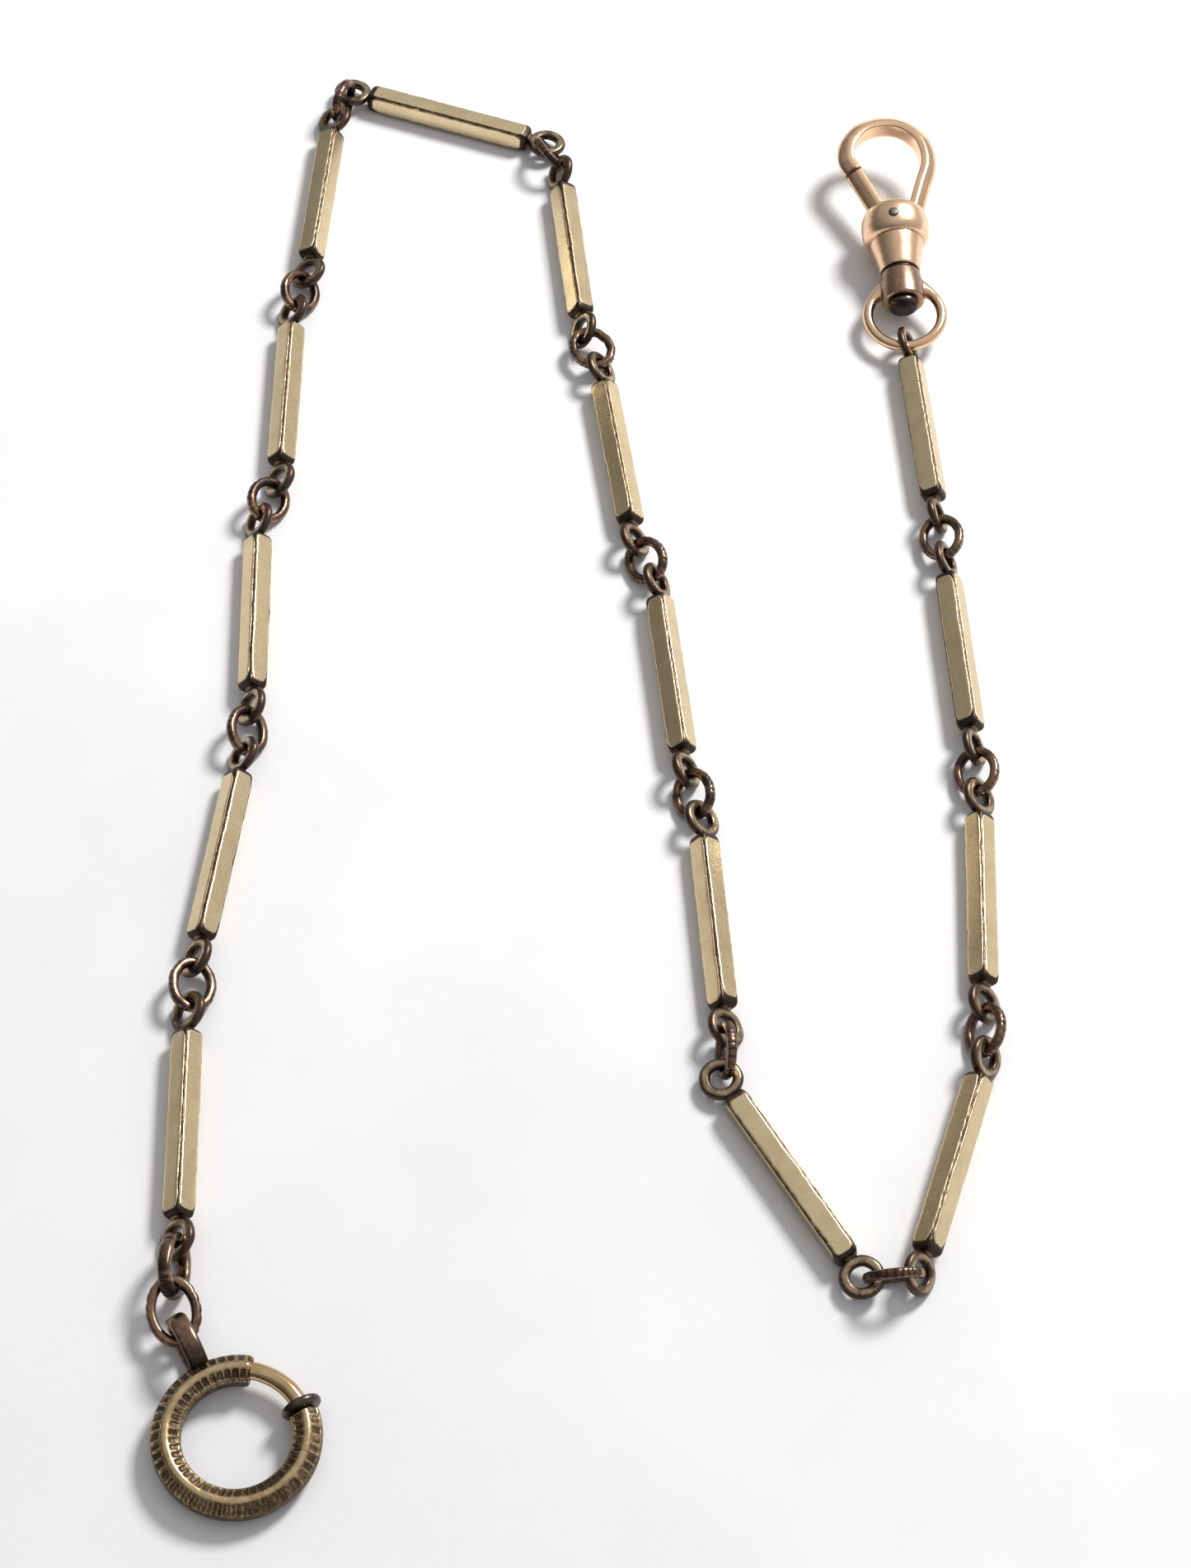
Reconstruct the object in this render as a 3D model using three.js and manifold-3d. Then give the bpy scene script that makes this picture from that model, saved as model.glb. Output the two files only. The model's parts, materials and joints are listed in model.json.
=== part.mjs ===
// Pocket watch chain: fifteen square bar links joined by jump rings, a swivel snap clip at one end
// and a bolt spring ring at the other, laid out on a table in three runs.
// Millimetres, +Z up. The chain stands on z = 0 with its bounding box centred on x = y = 0.

import * as THREE from 'three';
import { mergeVertices } from 'three/addons/utils/BufferGeometryUtils.js';
import Module from 'manifold-3d';

const wasm = await Module();
wasm.setup();

// ---------------------------------------------------------------- driving dimensions

// One bar link is a square sleeve on a through wire that ends in a flat washer-like eye at each side.
const BAR = { length: 14.0, side: 1.72, chamfer: 0.1, boreRadius: 0.44 };
const CORE_RADIUS = 0.4;
const EYE = { outer: 1.45, inner: 0.9, thickness: 0.5, gap: 0.03, neck: 0.25 };
const LOOP_CHAMFER = 0.1;
const EYE_CENTRE = BAR.length / 2 + EYE.gap + EYE.outer;

// Jump rings are slightly oval. Half sizes are to the middle of the wire.
const JUMP_RING = { halfLength: 1.7, halfWidth: 1.35, wire: 0.5, thickness: 0.55 };
const END_RING = { halfLength: 2.05, halfWidth: 1.42, wire: 0.5 };

// Swivel clip, measured along its axis from the middle of the bow's boss. The bow is a round ring
// that widens into the boss, which turns on the pin below the barrel.
const BOW = { radius: 2.9, centre: -2.55, wireRadius: 0.425, wireEnd: 26, turn: -5 };
const BOSS = { radius: 1.7, bottom: -1.3, top: 1.36, edge: 0.2 };
const SHOULDER = { from: [-0.2, 1.0], to: [-0.9, 2.4], wide: 0.95, flatten: 0.72 };
const PIN = { radius: 0.55, top: 3.4, button: 1.22, buttonBase: -1.36, buttonTip: -2.1 };
const WASHER = { radius: 1.45, bottom: 1.4, top: 1.56 };
const BARREL = { bottom: 1.6, endRadius: 1.58, waist: 2.1, bore: 0.61, boreTop: 3.5 };
const COLLAR = { bottom: 4.35, radius: 2.68, top: 7.6 };
const RIVET = { along: 5.6, across: 0.45, radius: 0.36, halfLength: 2.66 };

// Hook and gate share one section: an upright inner wall, a narrow crest and a sloping outer flank.
const STRIP = { halfHeight: 0.75, inner: 0.46, crest: 0.02, outer: 0.5, outerHalf: 0.16 };
const GATE_KNUCKLE = 0.72;
const GATE_TIP = { along: 11.4, across: 2.9 };
const SLIT = 0.06;

// Spring ring: a hollow C-shaped tube, closed by a curved bolt. Angles are in degrees round the ring.
const TUBE = { radius: 4.45, half: 0.97, chamfer: 0.42, bore: 0.66 };
const MOUTH_ANGLE = -38; // measured from the tab, anticlockwise positive
const SOCKET_ANGLE = -98;
const SOCKET_BACK = -134;
const BOLT = { radius: 0.58, overlap: 6, tail: 50 };
const BOLT_COLLAR = { radius: 1.33, half: 0.3, angle: -92.2 };
const COIL = { from: 66, to: 134, turns: 7, radius: 0.4, wire: 0.09 };
const TAB = { halfLength: 1.75, halfWidth: 1.25, wire: 0.7, width: 1.6, reach: 8.8 };

const WIRE_SIDES = 8;
const LOOP_SIDES = 12;
const RUNNING_GAP = 0.03;

// ---------------------------------------------------------------- lay of the chain

// Bars in order from the clip: heading in the table plane, and roll of the eyes about the bar.
const BARS = [
  [-83, -60], [-84, -56], [-90, -42], [-106, -49], [124, -9], [97, 38], [99, 52], [101, 47],
  [99, -56], [164, 6], [-92, 30], [-88, 44], [-86, 50], [-95, 48], [-86, 42],
];

// Jump rings in the same order. run and reach lead from one eye centre to the next; the ring itself
// may be turned (heading, pitch, roll), and lies beside that line by along, across and lift.
const REACH = 4.25;
const JUMP_RINGS = [
  { run: -82, roll: 20 },
  { run: -86, roll: 25 },
  { run: -90, roll: 45, along: 0.05 },
  { run: 186, reach: 3.75, heading: 181, pitch: -20, roll: 70, along: -0.15, across: 0.25 },
  { run: 87, reach: 3.9, heading: 94, pitch: 8, roll: -77, along: -0.05, across: -0.15 },
  { run: 107, roll: -38 },
  { run: 115, heading: 122, pitch: -8, roll: -37, across: -0.05 },
  { run: 112, reach: 4.1, heading: 124, pitch: 2, roll: -5, lift: 0.1 },
  { run: 110, reach: 3.75, heading: 117, pitch: -12, roll: 55, along: 0.1, across: 0.15 },
  { run: -110, reach: 3.6, heading: -107, pitch: 12, roll: 93 },
  { run: -101, heading: -107, pitch: 8, roll: -38, across: -0.05 },
  { run: -106, heading: -116, pitch: 11, roll: -38, across: -0.05 },
  { run: -92, roll: -40 },
  { run: -91, roll: -25 },
];

// Ends of the chain. step leads in plan from the last eye centre to the first end ring, and so on.
const END_RINGS = [
  { heading: -91, pitch: 13, roll: -70, step: [0.1, -2.15], height: 1.7, thickness: 0.8 },
  { heading: -74.5, pitch: -7.3, roll: -1.6, step: [0.33, -3.16], height: 1.64, thickness: 0.55 },
];
const CLIP_LIE = { heading: 95.5, pitch: 6, slack: 0.26 };
const SPRING_RING_LIE = { heading: 122, pitch: 2.25, step: [4.86, -8.134] };

// ---------------------------------------------------------------- materials

const metal = (color, roughness) => () =>
  new THREE.MeshStandardMaterial({ color, roughness, metalness: 1 });
const champagneGold = metal(0xc2b27c, 0.32);
const brownGold = metal(0x6f5238, 0.38);
const roseGold = metal(0xdcab82, 0.25);
const oldGold = metal(0x9a8250, 0.35);
const darkBronze = metal(0x4c4238, 0.4);
const steel = metal(0x77736c, 0.3);

// ---------------------------------------------------------------- geometry helpers

const degrees = THREE.MathUtils.degToRad;
const vec = (x, y, z = 0) => new THREE.Vector3(x, y, z);

function named(name, geometry, material) {
  const mesh = new THREE.Mesh(geometry, material());
  mesh.name = name;
  return mesh;
}

function toSolid(geometry) {
  const bare = geometry.clone();
  bare.deleteAttribute('normal');
  bare.deleteAttribute('uv');
  const welded = mergeVertices(bare, 1e-4);
  return new wasm.Manifold(new wasm.Mesh({
    numProp: 3,
    vertProperties: new Float32Array(welded.attributes.position.array),
    triVerts: new Uint32Array(welded.index.array),
  }));
}

function toGeometry(solid) {
  const mesh = solid.getMesh();
  const geometry = new THREE.BufferGeometry();
  geometry.setAttribute('position', new THREE.BufferAttribute(mesh.vertProperties, 3));
  geometry.setIndex(new THREE.BufferAttribute(mesh.triVerts, 1));
  geometry.computeVertexNormals();
  return geometry;
}

const join = (...parts) => toGeometry(parts.map(toSolid).reduce((all, next) => all.add(next)));
const cut = (body, ...tools) =>
  toGeometry(tools.map(toSolid).reduce((left, tool) => left.subtract(tool), toSolid(body)));

// Round bar along +X from x = from to x = to.
function rodAlongX(radius, from, to, sides = WIRE_SIDES) {
  return new THREE.CylinderGeometry(radius, radius, to - from, sides)
    .rotateZ(-Math.PI / 2)
    .translate((from + to) / 2, 0, 0);
}

// Round bar along Z through (x, y).
function rodAlongZ(radius, halfLength, x, y, sides = 12) {
  return new THREE.CylinderGeometry(radius, radius, halfLength * 2, sides)
    .rotateX(Math.PI / 2)
    .translate(x, y, 0);
}

// Solid of revolution about X. Each profile point is [radius, x].
function turned(profile, segments) {
  const points = profile.map(([radius, x]) => new THREE.Vector2(radius, x));
  return new THREE.LatheGeometry(points, segments).rotateZ(-Math.PI / 2);
}

// Flat oval band in the XY plane with chamfered edges, centred on the origin.
function ovalBand({ halfLength, halfWidth, wire, thickness }) {
  const grow = wire / 2 - LOOP_CHAMFER;
  const shape = new THREE.Shape();
  shape.absellipse(0, 0, halfLength + grow, halfWidth + grow, 0, Math.PI * 2);
  const hole = new THREE.Path();
  hole.absellipse(0, 0, halfLength - grow, halfWidth - grow, 0, Math.PI * 2);
  shape.holes.push(hole);
  return new THREE.ExtrudeGeometry(shape, {
    depth: thickness - 2 * LOOP_CHAMFER,
    curveSegments: LOOP_SIDES / 2,
    bevelThickness: LOOP_CHAMFER,
    bevelSize: LOOP_CHAMFER,
    bevelSegments: 1,
  }).translate(0, 0, LOOP_CHAMFER - thickness / 2);
}

// A circular arc about Z, angles in degrees.
class Arc extends THREE.Curve {
  constructor(radius, from, to) {
    super();
    Object.assign(this, { radius, from, to });
  }

  getPoint(t, target = new THREE.Vector3()) {
    const angle = degrees(this.from + (this.to - this.from) * t);
    return target.set(this.radius * Math.cos(angle), this.radius * Math.sin(angle), 0);
  }
}

const circle = (radius) => new THREE.Shape().absarc(0, 0, radius, 0, Math.PI * 2);

function swept(shape, path, steps, curveSegments = WIRE_SIDES / 2) {
  return new THREE.ExtrudeGeometry(shape, { steps, curveSegments, extrudePath: path, bevelEnabled: false });
}

// Square of the given half side with its corners cut off.
function chamferedSquare(half, chamfer) {
  const inner = half - chamfer;
  const corners = [[1, 1], [-1, 1], [-1, -1], [1, -1]];
  const outline = corners.flatMap(([x, y]) => {
    const onSide = new THREE.Vector2(x * half, y * inner);
    const onEnd = new THREE.Vector2(x * inner, y * half);
    return x * y > 0 ? [onSide, onEnd] : [onEnd, onSide];
  });
  return new THREE.Shape(outline);
}

// ---------------------------------------------------------------- links

// Local frame of every link: +X along the chain, flat faces of its loop towards +Z.
function placed(group, { heading, pitch = 0, roll = 0 }) {
  group.rotation.set(degrees(roll), -degrees(pitch), degrees(heading), 'ZYX');
  return group;
}

function restHeight(group) {
  group.updateMatrixWorld(true);
  return group.position.z - new THREE.Box3().setFromObject(group, true).min.z;
}

function barSleeve(name) {
  const section = chamferedSquare(BAR.side / 2, BAR.chamfer);
  section.holes.push(new THREE.Path().absarc(0, 0, BAR.boreRadius, 0, Math.PI * 2));
  const geometry = new THREE.ExtrudeGeometry(section, {
    depth: BAR.length, curveSegments: WIRE_SIDES / 2, bevelEnabled: false,
  }).translate(0, 0, -BAR.length / 2).rotateY(Math.PI / 2);
  return named(name, geometry, champagneGold);
}

function barCore(name) {
  const wireEnd = BAR.length / 2 + EYE.gap + EYE.neck;
  const middle = (EYE.outer + EYE.inner) / 2;
  const band = {
    halfLength: middle, halfWidth: middle, wire: EYE.outer - EYE.inner, thickness: EYE.thickness,
  };
  const eye = (side) => ovalBand(band).translate(side * EYE_CENTRE, 0, 0);
  return named(name, join(rodAlongX(CORE_RADIUS, -wireEnd, wireEnd), eye(-1), eye(1)), brownGold);
}

function barLink(number, [heading, roll]) {
  const group = new THREE.Group();
  group.add(barSleeve(`bar_${number}_sleeve`), barCore(`bar_${number}_core`));
  return placed(group, { heading, roll });
}

function ringLink(name, size, lie) {
  const group = new THREE.Group();
  group.add(named(name, ovalBand(size), brownGold));
  return placed(group, lie);
}

const eyeCentre = (link, side) => link.localToWorld(vec(side * EYE_CENTRE, 0));
const along = (heading, distance) =>
  vec(Math.cos(degrees(heading)) * distance, Math.sin(degrees(heading)) * distance);

// ---------------------------------------------------------------- swivel clip, +X towards the hook

// Half of the widening where the bow's wire meets the boss, on the side that side gives.
function shoulder(side) {
  const from = vec(SHOULDER.from[0], SHOULDER.from[1] * side);
  const to = vec(SHOULDER.to[0], SHOULDER.to[1] * side);
  const lie = new THREE.Quaternion().setFromUnitVectors(vec(0, 1), to.clone().sub(from).normalize());
  return new THREE.CylinderGeometry(BOW.wireRadius, SHOULDER.wide, from.distanceTo(to), 12)
    .scale(1, 1, SHOULDER.flatten)
    .applyQuaternion(lie)
    .translate((from.x + to.x) / 2, (from.y + to.y) / 2, 0);
}

function swivelBow() {
  const { radius, bottom, top, edge } = BOSS;
  const boss = turned([
    [0, bottom], [radius - edge, bottom], [radius, bottom + edge], [radius, top - edge],
    [radius - edge, top], [0, top],
  ], 16);
  const wire = swept(circle(BOW.wireRadius), new Arc(BOW.radius, BOW.wireEnd, 360 - BOW.wireEnd), 20)
    .translate(BOW.centre, 0, 0);
  const bore = rodAlongX(PIN.radius + RUNNING_GAP, bottom - 1, top + 1, 16);
  const bow = named('swivel_bow', cut(join(boss, wire, shoulder(1), shoulder(-1)), bore), roseGold);
  bow.rotation.x = degrees(BOW.turn);
  return bow;
}

function swivelPin() {
  const { radius, top, button, buttonBase, buttonTip } = PIN;
  return named('swivel_pin', turned([
    [0, buttonTip], [button * 0.65, buttonTip + 0.1], [button, buttonTip + 0.35], [button, buttonBase],
    [radius, buttonBase], [radius, top], [0, top],
  ], 16), darkBronze);
}

function swivelWasher() {
  const inner = PIN.radius + RUNNING_GAP;
  const ring = turned([
    [inner, WASHER.bottom], [WASHER.radius, WASHER.bottom], [WASHER.radius, WASHER.top],
    [inner, WASHER.top], [inner, WASHER.bottom],
  ], 16);
  return named('swivel_washer', ring, darkBronze);
}

// Section of hook and gate for a path that has the clip's eye on its left, grown by a gap all round.
function stripSection(gap = 0) {
  const { halfHeight, inner, crest, outer, outerHalf } = STRIP;
  const outline = [
    [halfHeight + gap, inner + gap], [-halfHeight - gap, inner + gap], [-halfHeight - gap, -crest],
    [-outerHalf - gap, -outer - gap], [outerHalf + gap, -outer - gap], [halfHeight + gap, -crest],
  ];
  return new THREE.Shape(outline.map(([x, y]) => new THREE.Vector2(x, y)));
}

const hookPath = new THREE.CatmullRomCurve3([
  vec(5.5, -1.35), vec(7.6, -1.85), vec(10.0, -2.6), vec(12.3, -3.3), vec(14.7, -2.9), vec(16.15, -1.4),
  vec(16.4, 0.3), vec(15.8, 2.0), vec(14.2, 3.2), vec(12.6, 3.4), vec(GATE_TIP.along, GATE_TIP.across),
]);

function hookFrame() {
  return named('hook_frame', swept(stripSection(), hookPath, 22), roseGold);
}

function gate() {
  const pivot = vec(RIVET.along, RIVET.across);
  const tip = vec(GATE_TIP.along, GATE_TIP.across);
  const shorten = tip.clone().sub(pivot).setLength(SLIT);
  const arm = swept(stripSection(), new THREE.LineCurve3(tip.sub(shorten), pivot), 1);
  const knuckle = rodAlongZ(GATE_KNUCKLE, STRIP.halfHeight, pivot.x, pivot.y);
  const pinHole = rodAlongZ(RIVET.radius + RUNNING_GAP, 2, pivot.x, pivot.y);
  return named('gate', cut(join(arm, knuckle), pinHole), roseGold);
}

function swivelBarrel() {
  const { bottom, endRadius, waist, bore, boreTop } = BARREL;
  const wall = turned([
    [bore, bottom], [endRadius, bottom], [waist, COLLAR.bottom - 0.1], [waist - 0.03, COLLAR.bottom],
    [2.4, 4.75], [2.62, 5.3], [COLLAR.radius, 5.9], [2.62, 6.5], [2.4, 7.1], [1.95, COLLAR.top],
    [0, COLLAR.top], [0, boreTop], [bore, boreTop], [bore, bottom],
  ], 20);
  const slotHeight = 2 * (STRIP.halfHeight + 2 * RUNNING_GAP);
  const slot = new THREE.BoxGeometry(3.2, 2.75, slotHeight).translate(6.4, 0.675, 0);
  const hookHole = swept(stripSection(RUNNING_GAP), new THREE.CatmullRomCurve3([
    vec(5.4, -1.33), vec(5.5, -1.35), vec(7.6, -1.85), vec(10.0, -2.6),
  ]), 8);
  const rivetHole = rodAlongZ(RIVET.radius + RUNNING_GAP, 4, RIVET.along, RIVET.across);
  return named('swivel_barrel', cut(wall, slot, hookHole, rivetHole), roseGold);
}

function gateRivet() {
  return named('gate_rivet', rodAlongZ(RIVET.radius, RIVET.halfLength, RIVET.along, RIVET.across), steel);
}

function gateSpring() {
  const leaf = new THREE.BoxGeometry(2.2, 0.1, 0.7).translate(6.1, -0.62, 0);
  return named('gate_spring', leaf, steel);
}

// ---------------------------------------------------------------- spring ring, +X towards the tab

const tubeSection = () => chamferedSquare(TUBE.half, TUBE.chamfer);
const tubeArc = (from, to) => new Arc(TUBE.radius, from, to);

function springRingTube() {
  const section = tubeSection();
  section.holes.push(new THREE.Path().absarc(0, 0, TUBE.bore, 0, Math.PI * 2));
  const length = 360 + SOCKET_BACK - MOUTH_ANGLE;
  const tube = swept(section, tubeArc(MOUTH_ANGLE, MOUTH_ANGLE + length - 0.5), 22);
  return named('spring_ring_tube', tube, oldGold);
}

function springRingSocket() {
  const body = swept(tubeSection(), tubeArc(SOCKET_BACK, SOCKET_ANGLE), 3);
  const hole = swept(circle(TUBE.bore), tubeArc(SOCKET_ANGLE - BOLT.overlap - 2, SOCKET_ANGLE + 2), 2);
  return named('spring_ring_socket', cut(body, hole), oldGold);
}

function springRingBolt() {
  const path = tubeArc(SOCKET_ANGLE - BOLT.overlap, MOUTH_ANGLE + BOLT.tail);
  return named('spring_ring_bolt', swept(circle(BOLT.radius), path, 12), roseGold);
}

function springRingCollar() {
  const inner = BOLT.radius + RUNNING_GAP;
  const edge = 0.12;
  const ring = turned([
    [inner, -BOLT_COLLAR.half], [BOLT_COLLAR.radius - edge, -BOLT_COLLAR.half],
    [BOLT_COLLAR.radius, edge - BOLT_COLLAR.half], [BOLT_COLLAR.radius, BOLT_COLLAR.half - edge],
    [BOLT_COLLAR.radius - edge, BOLT_COLLAR.half], [inner, BOLT_COLLAR.half], [inner, -BOLT_COLLAR.half],
  ], 16).rotateZ(Math.PI / 2).translate(TUBE.radius, 0, 0).rotateZ(degrees(BOLT_COLLAR.angle));
  return named('spring_ring_collar', ring, darkBronze);
}

// The coil follows the tube's arc, drawn at the length it has with the bolt pulled fully back.
class BentHelix extends THREE.Curve {
  getPoint(t, target = new THREE.Vector3()) {
    const angle = degrees(COIL.from + (COIL.to - COIL.from) * t);
    const turn = 2 * Math.PI * COIL.turns * t;
    const radius = TUBE.radius + COIL.radius * Math.cos(turn);
    return target.set(radius * Math.cos(angle), radius * Math.sin(angle), COIL.radius * Math.sin(turn));
  }
}

function springRingCoil() {
  return named('spring_ring_coil', swept(circle(COIL.wire), new BentHelix(), 8 * COIL.turns, 2), steel);
}

function springRingTab() {
  const centre = TAB.reach - TAB.halfLength;
  const size = { ...TAB, thickness: TAB.width };
  const loop = ovalBand(size).rotateX(Math.PI / 2).translate(centre, 0, 0);
  const seat = swept(chamferedSquare(TUBE.half + RUNNING_GAP, TUBE.chamfer), tubeArc(-40, 40), 10);
  return named('spring_ring_tab', cut(loop, seat), brownGold);
}

// ---------------------------------------------------------------- the chain, in order from the clip

const watchChain = new THREE.Group();
watchChain.name = 'pocket_watch_chain';

const twoDigits = (number) => String(number).padStart(2, '0');
const bars = BARS.map((lie, index) => barLink(twoDigits(index + 1), lie));

bars.forEach((link, index) => {
  link.position.z = restHeight(link);
  if (index > 0) {
    const { run, reach = REACH } = JUMP_RINGS[index - 1];
    const start = eyeCentre(bars[index - 1], 1).add(along(run, reach));
    link.updateMatrixWorld(true);
    const offset = eyeCentre(link, -1).sub(link.position);
    link.position.set(start.x - offset.x, start.y - offset.y, link.position.z);
  }
  link.updateMatrixWorld(true);
  watchChain.add(link);
});

JUMP_RINGS.forEach((lay, index) => {
  const { run, heading = run, pitch, roll, along: ahead = 0, across = 0, lift = 0 } = lay;
  const ring = ringLink(`jump_ring_${twoDigits(index + 1)}`, JUMP_RING, { heading, pitch, roll });
  const middle = eyeCentre(bars[index], 1).add(eyeCentre(bars[index + 1], -1)).multiplyScalar(0.5);
  const height = Math.max(restHeight(ring), middle.z) + lift;
  ring.position.copy(middle.add(along(heading, ahead)).add(along(heading + 90, across)));
  ring.position.z = height;
  watchChain.add(ring);
});

// Two end rings follow the last bar, and the tab of the spring ring follows them.
const place = eyeCentre(bars[bars.length - 1], 1);
END_RINGS.forEach((lie, index) => {
  const size = { ...END_RING, thickness: lie.thickness };
  const ring = ringLink(`end_ring_${index + 1}`, size, lie);
  place.add(vec(...lie.step));
  ring.position.set(place.x, place.y, lie.height);
  watchChain.add(ring);
});

const springRing = placed(new THREE.Group(), SPRING_RING_LIE);
springRing.add(
  springRingTube(), springRingSocket(), springRingTab(), springRingBolt(), springRingCollar(),
  springRingCoil(),
);
place.add(vec(...SPRING_RING_LIE.step));
springRing.position.set(place.x, place.y, restHeight(springRing));
watchChain.add(springRing);

// The bow's wire passes through the first eye, and the clip rests on its collar.
const clip = placed(new THREE.Group(), CLIP_LIE);
clip.add(
  swivelBow(), swivelPin(), swivelWasher(), swivelBarrel(), hookFrame(), gate(), gateRivet(),
  gateSpring(),
);
const backOfBow = clip.localToWorld(vec(BOW.centre - BOW.radius + CLIP_LIE.slack, 0));
clip.position.copy(eyeCentre(bars[0], -1).sub(backOfBow)).setZ(restHeight(clip));
watchChain.add(clip);

// Origin: middle of the bounding box, on the table.
watchChain.updateMatrixWorld(true);
const box = new THREE.Box3().setFromObject(watchChain, true);
const middle = box.getCenter(vec(0, 0));
watchChain.position.set(-middle.x, -middle.y, -box.min.z);

export default watchChain;
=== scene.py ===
"""Pocket watch chain: fifteen gold-plated square bars, jump rings, a swivel clip and a bolt spring ring.

Every piece is built in the frame of the CAD part that it stands for. Lengths are in millimetres
until a mesh is made, and angles are in degrees."""

import json
import math

import bpy
import numpy as np
from mathutils import Matrix, Vector


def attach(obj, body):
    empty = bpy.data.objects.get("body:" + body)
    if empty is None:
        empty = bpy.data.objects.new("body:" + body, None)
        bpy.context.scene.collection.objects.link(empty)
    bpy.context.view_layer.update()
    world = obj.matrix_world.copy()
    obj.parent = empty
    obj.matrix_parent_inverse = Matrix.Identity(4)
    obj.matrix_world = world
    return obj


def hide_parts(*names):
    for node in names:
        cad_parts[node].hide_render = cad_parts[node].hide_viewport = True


MM = 0.001
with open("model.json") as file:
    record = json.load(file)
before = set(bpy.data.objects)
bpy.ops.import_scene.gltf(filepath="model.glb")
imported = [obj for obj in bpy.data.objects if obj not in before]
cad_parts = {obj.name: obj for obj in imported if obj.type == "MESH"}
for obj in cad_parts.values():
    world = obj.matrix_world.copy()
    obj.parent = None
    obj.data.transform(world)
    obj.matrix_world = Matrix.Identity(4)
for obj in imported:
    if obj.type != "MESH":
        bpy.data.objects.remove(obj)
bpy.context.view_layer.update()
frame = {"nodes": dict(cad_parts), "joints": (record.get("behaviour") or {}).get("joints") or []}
nodes = frame["nodes"]
joints = {joint["name"]: joint for joint in frame["joints"]}

# ---------------------------------------------------------------- sizes of the links, as in the CAD

BAR_HALF_LENGTH = 7.0
BAR_HALF_SIDE = 0.86
EYE_OUTER, EYE_INNER, EYE_THICKNESS = 1.45, 0.9, 0.5
EYE_SWELL, EYE_INSET, RING_SWELL = 0.10, 0.03, 0.09
EYE_CENTRE = BAR_HALF_LENGTH + 0.03 + EYE_OUTER
THROUGH_WIRE = 0.4
RING_HALF_LENGTH, RING_HALF_WIDTH, RING_WIRE, RING_THICKNESS = 1.7, 1.35, 0.5, 0.55
END_HALF_LENGTH, END_HALF_WIDTH = 2.05, 1.42
END_THICKNESS = {1: 0.8, 2: 0.55}

PLATE_RISE = 0.07
PLATE_HALF_WIDTH = 0.685
PLATE_SHORT = 0.28, 0.62
CLIP_LEAST, CLIP_MOST = (0.25, 0.14), (1.25, 0.46)
CORE_HALF_SIDE = BAR_HALF_SIDE - PLATE_RISE + 0.035

# ---------------------------------------------------------------- sizes of the clip and spring ring

SPIN_POINT = 4.0
BOW_RADIUS, BOW_CENTRE, BOW_WIRE = 2.9, -2.55, 0.425
RIVET_ALONG, RIVET_ACROSS, RIVET_RADIUS, RIVET_REACH = 5.6, 0.45, 0.40, 2.78
GATE_TIP = (11.4, 2.9)
GATE_KNUCKLE = 0.72
SLIT = 0.2
SLOT_BOX = (5.0, 8.4), (-0.70, 2.2), (-0.81, 0.81)
BOW_WIRE_START, BOW_WIRE_END, BOW_FLARE = 24, 336, 34
BARREL_FOOT, BARREL_NECK = 1.6, 4.38

TUBE_RADIUS, TUBE_BORE = 4.45, 0.66
NOTCH_PITCH, NOTCH_DEPTH = 7.2, 0.12
FINE_PITCH, FINE_FROM, FINE_TO = 3.5, 92, 205
MOST_WORN_AT, WORN_SPREAD = 178, 26
MOUTH_ANGLE, SOCKET_ANGLE, SOCKET_BACK = -38, -98, -134
BOLT_RADIUS, BOLT_OVERLAP, BOLT_TAIL = 0.58, 6, 50
THUMB_RADIUS, THUMB_HALF, THUMB_ANGLE = 1.33, 0.3, -92.2
TAB_HALF_LENGTH, TAB_HALF_WIDTH, TAB_WIRE, TAB_WIDTH, TAB_REACH = 1.75, 1.25, 0.7, 1.34, 8.8

# ---------------------------------------------------------------- camera, light and floor

CAMERA_BACK, CAMERA_SIDE, CAMERA_HEIGHT = 135.78, 0.24, 195.5
CAMERA_TILT, CAMERA_ROLL, CAMERA_LENS = 33.64, 3.01, 75.13
NEAREST_SEEN = 0.01

KEY_PLACE, KEY_COLOR = (0.20, 0.24, 0.32), (1.0, 0.985, 0.96)
KEY_SIZE, KEY_POWER = 0.13, 2.15
SKY_BRIGHT_SIDE = (0.43, 0.30, 0.60)
SKY_CLOUDS, SKY_CLOUD_SHARE, SKY_STRENGTH = 2.2, 0.9, 0.60
SKY_TONES = [(0.05, (0.10, 0.095, 0.09, 1)), (0.5, (0.42, 0.415, 0.41, 1)), (1.0, (1.0, 1.0, 1.0, 1))]
FLOOR_HALF = 1.5
PAPER_SHADE, PAPER_LIGHT = (0.80, 0.805, 0.82, 1), (0.87, 0.87, 0.88, 1)

# ---------------------------------------------------------------- seeds of the random wear

BAR_SEED, EYE_SEED, RING_SEED, END_RING_SEED = 100, 300, 500, 540
TUBE_SEED, SOCKET_SEED, TAB_SEED = 71, 72, 74
DARK_RIDGED = (1, 2, 6, 9, 14)


def radians(angle):
    return math.radians(angle)


def add_camera():
    data = bpy.data.cameras.new("camera")
    data.lens = CAMERA_LENS
    data.sensor_width = 36
    data.sensor_fit = "AUTO"
    data.clip_start = NEAREST_SEEN
    camera = bpy.data.objects.new("camera", data)
    place = Matrix.Translation(Vector((-CAMERA_SIDE, -CAMERA_BACK, CAMERA_HEIGHT)) * MM)
    turn = Matrix.Rotation(radians(CAMERA_TILT), 4, "X") @ Matrix.Rotation(radians(CAMERA_ROLL), 4, "Z")
    camera.matrix_world = place @ turn
    bpy.context.scene.collection.objects.link(camera)
    bpy.context.scene.camera = camera


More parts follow.
